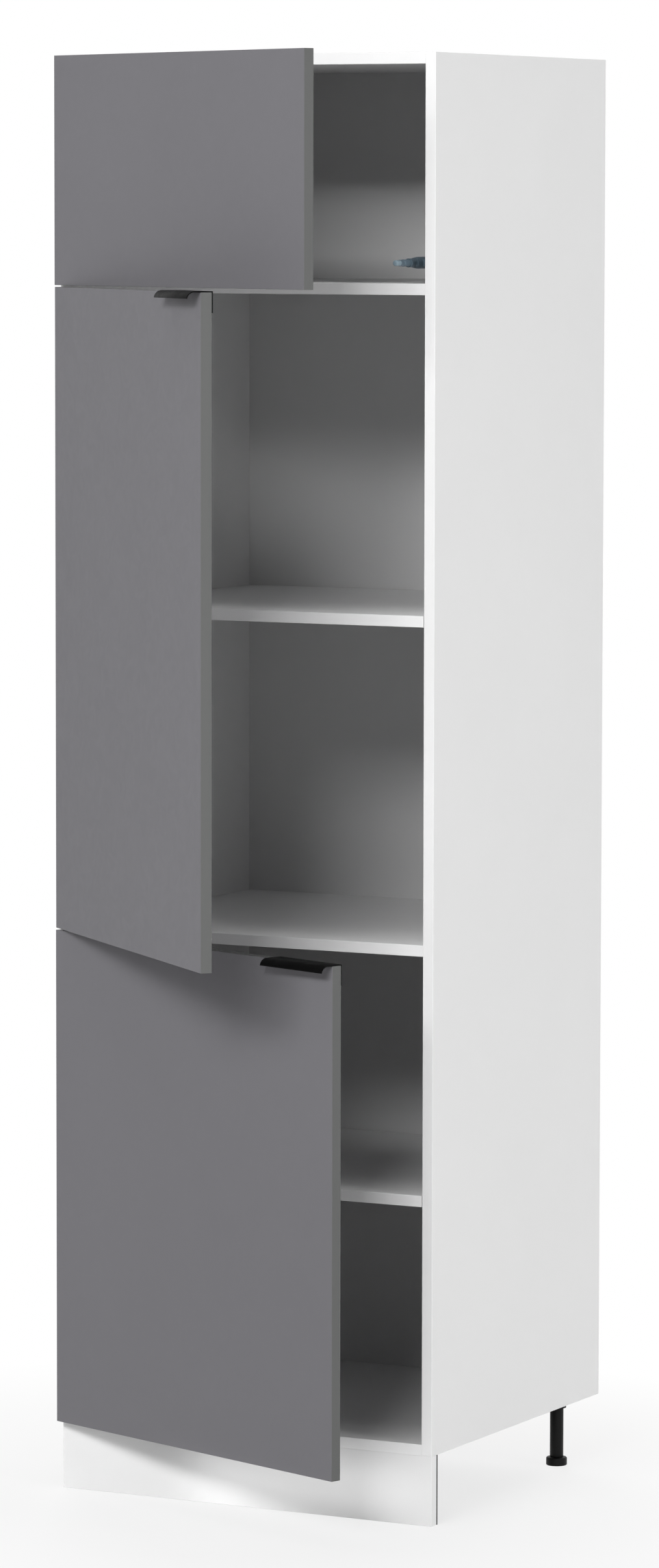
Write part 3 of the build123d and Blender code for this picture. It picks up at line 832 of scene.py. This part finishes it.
@dataclass
class Carcass:
    """The sides, the fixed and loose boards and the back."""

    boards: tuple[str, ...] = (
        "left_side_panel", "right_side_panel", "top_panel", "bottom_panel",
        "lower_fixed_shelf", "upper_fixed_shelf", "lower_loose_shelf", "upper_loose_shelf",
    )
    pin_easing: float = 0.3

    def build(self) -> None:
        """Dress every board, its fittings and the back."""
        for node in self.boards:
            Board(node, "carcass", WHITE_FACE, WHITE_BAND, bare_rear=True).build()
        self.dress_back()
        self.build_cams()
        EasedPart("shelf_pins", "carcass", NICKEL, self.pin_easing).build()
        dress_nodes(BEECH, "dowels")
        dress_nodes(ZINC, "cam_bolts")

    def dress_back(self) -> None:
        """Give the back a foil face inside and its rough fibre face outside."""
        dress_nodes(WHITE_FOIL, "back_panel")
        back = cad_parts["back_panel"].data
        back.materials.append(RAW_BACK.material())
        for polygon in back.polygons:
            polygon.material_index = int(polygon.normal.y > PARALLEL)

    def build_cams(self) -> None:
        """Make the cams that show in the boards' faces, with their screwdriver crosses."""
        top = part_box("top_panel")[1].z / MM
        bm = bmesh.new()
        for low, high in islands("cam_discs"):
            middle = (low + high) / 2
            cam = Fastener(Head.CAM, (high.x - low.x) / 2, 0.0, 0.0, high.z - low.z)
            upward = abs(high.z - top) < NEAR
            middle.z = high.z if upward else low.z
            cam.add(bm, axes(middle, (0, 0, 1 if upward else -1)))
        put_in_scene(as_mesh(bm, "cam_fittings"), "carcass", "cam_discs", ZINC)


@dataclass
class Plinth:
    """The white plinth board, its black strip and the clips behind it."""

    clip_easing: float = 0.3

    def build(self) -> None:
        """Dress the three pieces."""
        Board("plinth_board", "carcass", WHITE_FACE, WHITE_BAND).build()
        dress_nodes(BLACK_PLASTIC, "plinth_backing")
        EasedPart("plinth_clips", "carcass", BLACK_PLASTIC, self.clip_easing).build()


@dataclass
class Legs:
    """The four legs: mounts, tubes and feet."""

    places: tuple[tuple[str, float, float], ...] = (
        ("front_left_foot", -260.0, 52.0),
        ("front_right_foot", 260.0, 52.0),
        ("rear_left_foot", -260.0, 483.0),
        ("rear_right_foot", 260.0, 483.0),
    )
    foot_radius: float = 15.5
    foot_height: float = 12.0
    stem_radius: float = 4.5
    stem_top: float = 46.0
    mount_easing: float = 0.5
    tube_easing: float = 0.3
    mount_screw: Fastener = Fastener(Head.PAN, 3.6, 1.8, 1.8, 12.0)

    def foot_outline(self) -> list[tuple[float, float]]:
        """Give the foot's outline from its underside to the top of its stem.

        Returns:
            Radius and height of each corner.
        """
        radius, height, stem = self.foot_radius, self.foot_height, self.stem_radius
        return [(0, 0.6), (radius - 4, 0.6), (radius - 3.4, 0), (radius - 0.8, 0), (radius, 0.8),
                (radius, height - 2.4), (radius - 0.3, height - 1.2), (radius - 1.1, height - 0.4),
                (radius - 2.4, height), (stem, height), (stem, self.stem_top - 0.6),
                (stem - 0.6, self.stem_top), (0, self.stem_top)]

    def build(self) -> None:
        """Make the feet and the mounts' screws, and dress the rest."""
        for name, x, y in self.places:
            bm = bmesh.new()
            turned(bm, self.foot_outline(), steps=48)
            mesh = as_mesh(bm, name + "_turned", Matrix.Translation((x, y, 0)), TURNED)
            put_in_scene(mesh, name + "_body", name, BLACK_PLASTIC)
        self.build_screws()
        for node, easing in (("leg_mounts", self.mount_easing), ("leg_tubes", self.tube_easing)):
            EasedPart(node, "carcass", BLACK_PLASTIC, easing).build()

    def build_screws(self) -> None:
        """Make the screws that hold the mounts to the bottom panel."""
        bm = bmesh.new()
        for low, high in islands("leg_mount_screws"):
            self.mount_screw.add(bm, self.mount_screw.seated(low, high, axis=2, way=-1))
        put_in_scene(as_mesh(bm, "mount_screws"), "carcass", "leg_mount_screws", ZINC)


@dataclass
class Door:
    """A door with its hinges, bumpers and handle, as far open as in the photo."""

    name: str
    opened: float
    handled: bool
    strip: float = 1.5
    strip_easing: float = 0.3
    flat: float = 25.0
    bend_radius: float = 12.0
    bend_degrees: float = 80.0
    bend_steps: int = 12
    plate_easing: float = 0.25
    cup_easing: float = 0.2
    cup_screw: Fastener = Fastener(Head.PAN, 3.6, 1.0, 1.9, 11.0)
    plate_screw: Fastener = Fastener(Head.PAN, 3.6, 1.8, 2.4, 12.2)
    arm_screw: Fastener = Fastener(Head.PAN, 3.7, 1.5, 2.2, 14.5)
    strip_screw: Fastener = Fastener(Head.FLUSH, 3.4, 1.5, 1.8, 13.4)

    @property
    def plane(self) -> Matrix:
        """Give the door's own axes: X to the free edge, Y to the back, Z up.

        Returns:
            The matrix from them to the cabinet's axes, in millimetres.
        """
        turn = radians(self.opened)
        return Matrix((
            (cos(turn), sin(turn), 0, PIVOT[0]),
            (-sin(turn), cos(turn), 0, PIVOT[1]),
            (0, 0, 1, 0),
            (0, 0, 0, 1),
        ))

    @property
    def body(self) -> str:
        """Name the body that the door is."""
        return self.name + "_door"

    def build(self) -> None:
        """Build the door and all that is on it."""
        # The band's darker grey paints shade on the door's edges.
        Board(self.name + "_door_panel", self.body, GREY_FRONT, GREY_BAND_PAINTED_SHADE).build()
        for part in ("plates", "arms"):
            EasedPart(f"{self.name}_hinge_{part}", "carcass", NICKEL, self.plate_easing).build()
        EasedPart(self.name + "_hinge_cups", self.body, NICKEL, self.cup_easing).build()
        dress_nodes(NICKEL, self.name + "_hinge_pins")
        self.build_screws("cup_screws", NICKEL, self.cup_screw)
        self.build_plate_screws()
        self.build_bumpers()
        if self.handled:
            self.build_handle()
            self.build_screws("handle_screws", ZINC, self.strip_screw)

    def build_screws(self, part: str, finish: Finish, screw: Fastener) -> None:
        """Make the screws driven into the door's back.

        Args:
            part: the plain screws, after the door's name.
            finish: their finish.
            screw: the kind of screw.
        """
        bm = bmesh.new()
        for low, high in islands(f"{self.name}_{part}", self.plane):
            screw.add(bm, screw.seated(low, high, axis=1, way=1))
        self.put(bm, part + "_crossed", finish, part)

    def build_plate_screws(self) -> None:
        """Make the screws of the hinge plates and arms, which stay on the cabinet's side."""
        name = self.name + "_plate_screws"
        bm = bmesh.new()
        for low, high in islands(name):
            in_side = low.x < -SIDE_INNER - 1.0
            screw = self.plate_screw if in_side else self.arm_screw
            screw.add(bm, screw.seated(low, high, axis=0, way=1))
        put_in_scene(as_mesh(bm, name + "_crossed"), "carcass", name, NICKEL)

    def build_bumpers(self) -> None:
        """Make the soft domes that the door shuts against."""
        bm = bmesh.new()
        for low, high in islands(self.name + "_door_bumpers", self.plane):
            radius, rise = (high.x - low.x) / 2, high.y - low.y
            verts = turned(bm, [
                (0, 0), (radius, 0), (radius, rise * 0.3), (radius * 0.93, rise * 0.62),
                (radius * 0.74, rise * 0.86), (radius * 0.4, rise * 0.97), (0, rise)], steps=28)
            middle = (low + high) / 2
            middle.y = low.y
            bmesh.ops.transform(bm, matrix=axes(middle, (0, 1, 0)), verts=verts)
        self.put(bm, "door_bumpers_domed", CLEAR_PAD, "door_bumpers")

    def build_handle(self) -> None:
        """Bend the handle's strip over the door's top edge."""
        low, high = islands(self.name + "_handle", self.plane)[0]
        back, top = high.y - self.strip, high.z - self.strip
        inner = self.bend_radius - self.strip
        path = [(back, low.z), (back, top), (back - self.flat, top)]
        for step in range(1, self.bend_steps + 1):
            angle = radians(self.bend_degrees) * step / self.bend_steps
            path.append((back - self.flat - inner * sin(angle), top - inner + inner * cos(angle)))
        bm = bmesh.new()
        verts = [bm.verts.new((low.x, y, z)) for y, z in path]
        edges = [bm.edges.new(pair) for pair in zip(verts, verts[1:])]
        made = bmesh.ops.extrude_edge_only(bm, edges=edges)["geom"]
        moved = [item for item in made if isinstance(item, BMVert)]
        bmesh.ops.translate(bm, vec=(high.x - low.x, 0, 0), verts=moved)
        bmesh.ops.recalc_face_normals(bm, faces=bm.faces)
        flat = max(bm.faces, key=lambda face: abs(face.normal.z) * face.calc_area())
        if flat.normal.z > 0:
            bmesh.ops.reverse_faces(bm, faces=bm.faces)
        bmesh.ops.solidify(bm, geom=list(bm.faces), thickness=self.strip)
        bmesh.ops.recalc_face_normals(bm, faces=bm.faces)
        sharp = [edge for edge in bm.edges if edge.calc_face_angle(0.0) > radians(SHARP)]
        ease(bm, sharp, self.strip_easing)
        self.put(bm, "handle_bent", BLACK_COAT, "handle")

    def put(self, bm: BMesh, name: str, finish: Finish, replaced: str) -> None:
        """Put a piece made on the door's own axes on the door.

        Args:
            bm: the shape.
            name: its name after the door's.
            finish: its finish.
            replaced: the plain part that it stands for, after the door's name.
        """
        mesh = as_mesh(bm, f"{self.name}_{name}", self.plane)
        put_in_scene(mesh, self.body, f"{self.name}_{replaced}", finish)


@dataclass
class PushLatch:
    """The push latch beside the right side panel, sprung out as in the photo."""

    screw: Fastener = Fastener(Head.FLUSH, 3.8, 1.8, 2.0, 14.0)
    groove: float = 12.4
    groove_width: float = 2.4
    groove_depth: float = 0.35
    neck: float = 10.0
    bore_gap: float = 0.3
    end_wall: float = 3.0
    adapter_easing: float = 0.3
    strike_easing: float = 0.2
    middle: Vector = field(init=False, default_factory=Vector)

    def build(self) -> None:
        """Build the tip, the plunger, the housing and what holds and meets them."""
        (low, high), = islands("latch_tip")
        self.middle = (low + high) / 2
        self.middle.y = 0.0
        radius, start, joint = (high.x - low.x) / 2, low.y, high.y
        # The tip takes the lighter blue-grey, which paints light on the plunger's front end.
        self.turn("latch_tip", "latch_plunger_body", LATCH_TIP_PAINTED_LIGHT, [
            (0, start), (radius - 1.5, start), (radius - 0.7, start + 0.3),
            (radius - 0.15, start + 0.9), (radius, start + 1.7), (radius, joint - 0.2),
            (radius - 0.2, joint), (0, joint)])
        (low, high), = islands("latch_plunger")
        radius, end = (high.x - low.x) / 2, high.y
        self.turn("latch_plunger", "latch_plunger_body", LATCH_BODY, [
            (0, joint), (radius - 0.7, joint), (radius - 0.5, joint + 0.2),
            (radius - 0.5, joint + self.neck), (radius, joint + self.neck + 0.4),
            (radius, end - 0.5), (radius - 0.5, end), (0, end)])
        (low, high), = islands("latch_housing")
        outer, bore, start, end = (high.x - low.x) / 2, radius + self.bore_gap, low.y, high.y
        sunk, wall = outer - self.groove_depth, end - self.end_wall
        ring = start + self.groove
        ring_end = ring + self.groove_width
        self.turn("latch_housing", "carcass", LATCH_BODY, [
            (bore, start), (outer - 0.3, start), (outer, start + 0.3), (outer, ring - 0.4),
            (sunk, ring), (sunk, ring_end), (outer, ring_end + 0.4), (outer, end - 0.4),
            (outer - 0.4, end), (0, end), (0, wall), (bore, wall), (bore, start)])
        EasedPart("latch_adapter", "carcass", LATCH_BODY, self.adapter_easing).build()
        EasedPart("latch_strike", "upper_door", ZINC, self.strike_easing).build()
        dress_nodes(ZINC, "latch_spring")
        self.build_screws()

    def turn(self, name: str, body: str, finish: Finish,
             outline: list[tuple[float, float]]) -> None:
        """Turn a piece of the latch on its axis, which points to the back.

        Args:
            name: the plain part that it stands for.
            body: the body that it rides on.
            finish: its finish.
            outline: radius and place along the axis of each corner.
        """
        bm = bmesh.new()
        turned(bm, outline, steps=40)
        mesh = as_mesh(bm, name + "_turned", axes(self.middle, (0, 1, 0)), TURNED)
        put_in_scene(mesh, body, name, finish)

    def build_screws(self) -> None:
        """Make the two screws that hold the adapter to the side."""
        bm = bmesh.new()
        for low, high in islands("latch_screws"):
            self.screw.add(bm, self.screw.seated(low, high, axis=0, way=-1))
        put_in_scene(as_mesh(bm, "latch_screws_crossed"), "carcass", "latch_screws", ZINC)


@dataclass
class Lamp:
    """A soft lamp: its lengths in metres, its angles in degrees and its power in watts."""

    name: str
    azimuth: float
    elevation: float
    distance: float
    width: float
    height: float
    power: float
    spread: float = 180.0
    aim: Point = (0.0, 0.1, 1.0)

    def hang(self) -> None:
        """Hang the lamp at its distance from the point that it is aimed at."""
        light = bpy.data.lights.new(self.name, "AREA")
        light.shape = "RECTANGLE"
        light.size = self.width
        light.size_y = self.height
        light.energy = self.power
        light.spread = radians(self.spread)
        lamp = bpy.data.objects.new(self.name, light)
        lamp.visible_camera = False
        lamp.visible_glossy = False
        turn, rise = radians(self.azimuth), radians(self.elevation)
        away = Vector((sin(turn) * cos(rise), -cos(turn) * cos(rise), sin(rise)))
        lamp.location = Vector(self.aim) + away * self.distance
        lamp.rotation_euler = away.to_track_quat("Z", "Y").to_euler()
        bpy.context.scene.collection.objects.link(lamp)


@dataclass
class Studio:
    """The pale floor, the lamps, the white surroundings and the camera.

    Lengths are in metres and the camera's angles in radians. The floor whitens from near to far.
    """

    floor_radius: float = 9.0
    floor_steps: int = 96
    floor_drop: float = 0.0003
    floor_grey: float = 0.72
    near: float = 0.35
    near_white: float = 0.75
    far: float = 1.2
    ambient: float = 0.05
    lamps: tuple[Lamp, ...] = (
        Lamp("key", -20.0, 20.0, 9.0, 3.0, 2.4, 65.0),
        Lamp("front", 4.0, 27.5, 9.0, 5.0, 1.5, 585.0),
        Lamp("overhead", -8.0, 76.0, 6.0, 4.0, 2.0, 85.0),
        Lamp("right_fill", 81.0, 8.0, 9.0, 4.0, 4.0, 415.0),
        Lamp("rear_left", -142.0, 25.0, 9.0, 4.0, 3.0, 430.0),
        Lamp("plinth_strip", 0.0, 0.0, 0.6, 0.36, 0.05, 0.042, 15.0, (0.1, 0.0, 0.045)),
    )
    camera_place: Point = (4.3248, -7.9914, 1.8595)
    yaw: float = 0.4831
    pitch: float = 0.0894
    roll: float = 0.0017
    focal_length: float = 147.49
    shift: tuple[float, float] = (-0.0006, -0.0024)

    def build(self) -> None:
        """Set up all that the cabinet is seen in."""
        self.lay_floor()
        for lamp in self.lamps:
            lamp.hang()
        self.light_world()
        self.aim_camera()
        bpy.context.scene.view_settings.view_transform = "Standard"

    def lay_floor(self) -> None:
        """Lay a round floor, a hair below the feet so that the two don't share a plane."""
        bm = bmesh.new()
        bmesh.ops.create_circle(bm, cap_ends=True, radius=self.floor_radius,
                                segments=self.floor_steps)
        bmesh.ops.translate(bm, vec=(0, 0, -self.floor_drop), verts=bm.verts)
        mesh = bpy.data.meshes.new("floor")
        bm.to_mesh(mesh)
        bm.free()
        floor = bpy.data.objects.new("floor", mesh)
        bpy.context.scene.collection.objects.link(floor)
        mesh.materials.append(self.floor_material())

    def floor_material(self) -> bpy.types.Material:
        """Make the floor: pale and shaded near the cabinet, white to the eye further off.

        Returns:
            The material.
        """
        tree = Tree("pale_floor")
        nodes, links = tree.nodes, tree.links
        tree.set(Roughness=0.9, Specular_IOR_Level=0.1)
        tree.shader.inputs["Base Color"].default_value = shade((self.floor_grey,) * 3, 1.0)
        white = nodes.new("ShaderNodeEmission")
        length = nodes.new("ShaderNodeVectorMath")
        length.operation = "LENGTH"
        links.new(tree.place, length.inputs[0])
        fade = tree.spread(length.outputs["Value"], low=self.near_white, start=self.near,
                           stop=self.far)
        seen = nodes.new("ShaderNodeMath")
        seen.operation = "MULTIPLY"
        links.new(fade, seen.inputs[0])
        links.new(self.seen_directly(nodes, links), seen.inputs[1])
        mix = nodes.new("ShaderNodeMixShader")
        links.new(seen.outputs["Value"], mix.inputs["Fac"])
        links.new(tree.shader.outputs["BSDF"], mix.inputs[1])
        links.new(white.outputs["Emission"], mix.inputs[2])
        links.new(mix.outputs["Shader"], nodes["Material Output"].inputs["Surface"])
        return tree.material

    @staticmethod
    def seen_directly(nodes: bpy.types.Nodes, links: bpy.types.NodeLinks) -> bpy.types.NodeSocket:
        """Tell the rays of the camera, of reflections and through glass from the rest.

        Args:
            nodes: the tree's nodes.
            links: the tree's links.

        Returns:
            A socket that is 1 for those rays.
        """
        path = nodes.new("ShaderNodeLightPath")
        found = path.outputs["Is Camera Ray"]
        for name in ("Is Glossy Ray", "Is Transmission Ray"):
            either = nodes.new("ShaderNodeMath")
            either.operation = "MAXIMUM"
            links.new(found, either.inputs[0])
            links.new(path.outputs[name], either.inputs[1])
            found = either.outputs["Value"]
        return found

    def light_world(self) -> None:
        """Make the surroundings white to the eye and a weak soft light for the rest."""
        world = bpy.data.worlds.new("surroundings")
        world.use_nodes = True
        nodes, links = world.node_tree.nodes, world.node_tree.links
        soft = nodes["Background"]
        soft.inputs["Color"].default_value = (1, 1, 1, 1)
        soft.inputs["Strength"].default_value = self.ambient
        white = nodes.new("ShaderNodeBackground")
        white.inputs["Color"].default_value = (1, 1, 1, 1)
        mix = nodes.new("ShaderNodeMixShader")
        links.new(self.seen_directly(nodes, links), mix.inputs["Fac"])
        links.new(soft.outputs["Background"], mix.inputs[1])
        links.new(white.outputs["Background"], mix.inputs[2])
        links.new(mix.outputs["Shader"], nodes["World Output"].inputs["Surface"])
        bpy.context.scene.world = world

    def aim_camera(self) -> None:
        """Stand the camera where the photo was taken from."""
        yaw, pitch, roll = self.yaw, self.pitch, self.roll
        ahead = Vector((-sin(yaw) * cos(pitch), cos(yaw) * cos(pitch), -sin(pitch)))
        right = Vector((cos(yaw), sin(yaw), 0.0))
        up = right.cross(ahead)
        level, upright = cos(roll) * right + sin(roll) * up, cos(roll) * up - sin(roll) * right
        lens = bpy.data.cameras.new("photo_camera")
        lens.lens = self.focal_length
        lens.shift_x, lens.shift_y = self.shift
        lens.clip_end = 100.0
        camera = bpy.data.objects.new("photo_camera", lens)
        turn = Matrix((level, upright, -ahead)).transposed().to_4x4()
        camera.matrix_world = Matrix.Translation(self.camera_place) @ turn
        bpy.context.scene.collection.objects.link(camera)
        bpy.context.scene.camera = camera


def main() -> None:
    """Build the cabinet and the studio."""
    logging.basicConfig(level=logging.INFO, format="%(message)s")
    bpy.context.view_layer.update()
    assemblies = (
        Carcass(),
        Plinth(),
        Legs(),
        Door("upper", opened=25.4, handled=False),
        Door("middle", opened=40.7, handled=True),
        Door("lower", opened=20.4, handled=True),
        PushLatch(),
        Studio(),
    )
    for assembly in assemblies:
        assembly.build()


if __name__ == "__main__":
    main()
